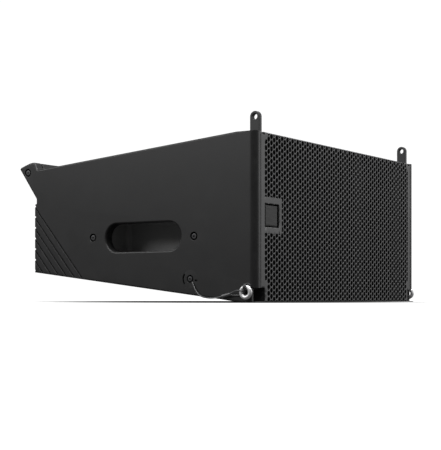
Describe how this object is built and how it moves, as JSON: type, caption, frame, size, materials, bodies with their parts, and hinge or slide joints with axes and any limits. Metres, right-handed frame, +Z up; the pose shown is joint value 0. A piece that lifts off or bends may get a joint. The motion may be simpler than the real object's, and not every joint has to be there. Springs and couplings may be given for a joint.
{
  "type": "line array speaker",
  "caption": "Compact wedge-sided line array loudspeaker with perforated grille, side handles, sliding front links, pull-ring pins and a rear rigging arm.",
  "frame": {"origin": "middle of the footprint at floor level, standing on the flat strip of the bottom edge as in the picture", "axes": "+X to the viewer's right along the width, -Y out of the grille, +Z up"},
  "size_m": [0.5756, 0.456, 0.2808],
  "materials": {
    "painted_ply": "black textured paint on plywood",
    "moulded_black": "fine moulded grain",
    "grille_paint": "satin powder coat on perforated steel",
    "acoustic_foam": "open-cell black foam",
    "badge": "satin dark plate",
    "cast_basket": "dark cast",
    "surround_rubber": "matte",
    "cone_paper": "treated paper pulp",
    "magnet_steel": "ferrite and blackened steel",
    "circuit_board": "solder-masked laminate",
    "copper_winding": "enamelled copper wire",
    "capacitor_film": "film sleeve",
    "rigging_steel": "black powder-coated steel",
    "screw_steel": "black oxide",
    "socket_plastic": "moulded connector body",
    "coated_wire": "black plastic-coated wire rope",
    "chrome_pin": "bright plated steel"
  },
  "bodies": {
    "root": {"side_panel_left": "painted_ply", "side_panel_right": "painted_ply", "top_panel": "painted_ply", "bottom_panel": "painted_ply", "rear_panel": "painted_ply", "front_baffle": "painted_ply", "rear_beam": "painted_ply", "handle_cup_left": "moulded_black", "handle_cup_right": "moulded_black", "grille": "grille_paint", "grille_foam": "acoustic_foam", "badge_plate": "badge", "woofer_basket_left": "cast_basket", "woofer_basket_right": "cast_basket", "woofer_surround_left": "surround_rubber", "woofer_surround_right": "surround_rubber", "woofer_magnet_left": "magnet_steel", "woofer_magnet_right": "magnet_steel", "waveguide": "moulded_black", "compression_driver": "magnet_steel", "crossover_board": "circuit_board", "crossover_coil": "copper_winding", "crossover_capacitor": "capacitor_film", "input_plate": "rigging_steel", "input_plate_screw_lower": "screw_steel", "input_plate_screw_upper": "screw_steel", "input_socket_lower": "socket_plastic", "input_socket_upper": "socket_plastic", "handle_screw_left_front": "screw_steel", "handle_screw_left_rear": "screw_steel", "handle_screw_right_front": "screw_steel", "handle_screw_right_rear": "screw_steel", "beam_screw_left": "screw_steel", "beam_screw_right": "screw_steel", "rigging_frame_left": "rigging_steel", "rigging_frame_right": "rigging_steel", "lanyard_left": "coated_wire", "lanyard_right": "coated_wire", "lanyard_anchor_left": "rigging_steel", "lanyard_anchor_right": "rigging_steel", "lanyard_screw_left": "screw_steel", "lanyard_screw_right": "screw_steel", "rear_bracket": "rigging_steel", "rear_receiver": "rigging_steel", "rear_arm_pivot": "screw_steel"},
    "front_link_left": {"front_link_left": "rigging_steel"},
    "front_link_right": {"front_link_right": "rigging_steel"},
    "pin_left": {"pin_left": "chrome_pin", "lanyard_eye_left": "coated_wire"},
    "pin_right": {"pin_right": "chrome_pin", "lanyard_eye_right": "coated_wire"},
    "pin_ring_left": {"pin_ring_left": "chrome_pin"},
    "pin_ring_right": {"pin_ring_right": "chrome_pin"},
    "rear_arm": {"rear_arm": "rigging_steel"},
    "rear_pin": {"rear_pin": "chrome_pin"},
    "rear_pin_ring": {"rear_pin_ring": "chrome_pin"},
    "cone_left": {"woofer_cone_left": "cone_paper"},
    "cone_right": {"woofer_cone_right": "cone_paper"}
  },
  "joints": [
    {"name": "front_link_left_slide", "type": "slide", "parent": "root", "child": "front_link_left", "axis": [0, 0, 1], "range_m": [-0.03, 0]},
    {"name": "front_link_right_slide", "type": "slide", "parent": "root", "child": "front_link_right", "axis": [0, 0, 1], "range_m": [-0.03, 0]},
    {"name": "pin_left_pull", "type": "slide", "parent": "root", "child": "pin_left", "axis": [-1, 0, 0], "range_m": [0, 0.034], "deforming": ["lanyard_left", "lanyard_eye_left"]},
    {"name": "pin_right_pull", "type": "slide", "parent": "root", "child": "pin_right", "axis": [1, 0, 0], "range_m": [0, 0.034], "deforming": ["lanyard_right", "lanyard_eye_right"]},
    {"name": "pin_ring_left_swing", "type": "hinge", "parent": "pin_left", "child": "pin_ring_left", "pos_m": [-0.282, -0.21495, 0.0225], "axis": [0, 1, 0], "range_deg": [0, 170], "deforming": ["lanyard_eye_left"]},
    {"name": "pin_ring_right_swing", "type": "hinge", "parent": "pin_right", "child": "pin_ring_right", "pos_m": [0.282, -0.21495, 0.0225], "axis": [0, -1, 0], "range_deg": [0, 170], "deforming": ["lanyard_eye_right"]},
    {"name": "rear_arm_swing", "type": "hinge", "parent": "root", "child": "rear_arm", "pos_m": [0, 0.2135, 0.206], "axis": [1, 0, 0], "range_deg": [0, 178]},
    {"name": "rear_pin_pull", "type": "slide", "parent": "rear_arm", "child": "rear_pin", "axis": [-1, 0, 0], "range_m": [0, 0.02]},
    {"name": "rear_pin_ring_swing", "type": "hinge", "parent": "rear_pin", "child": "rear_pin_ring", "pos_m": [-0.01, 0.2135, 0.133], "axis": [0, 1, 0], "range_deg": [0, 170]},
    {"name": "cone_left_travel", "type": "slide", "parent": "root", "child": "cone_left", "axis": [0, -1, 0], "range_m": [-0.005, 0.005], "stiffness_N_per_m": 2500},
    {"name": "cone_right_travel", "type": "slide", "parent": "root", "child": "cone_right", "axis": [0, -1, 0], "range_m": [-0.005, 0.005], "stiffness_N_per_m": 2500}
  ],
  "couplings": [
    {"joint": "cone_right_travel", "follows": "cone_left_travel", "ratio": 1}
  ]
}
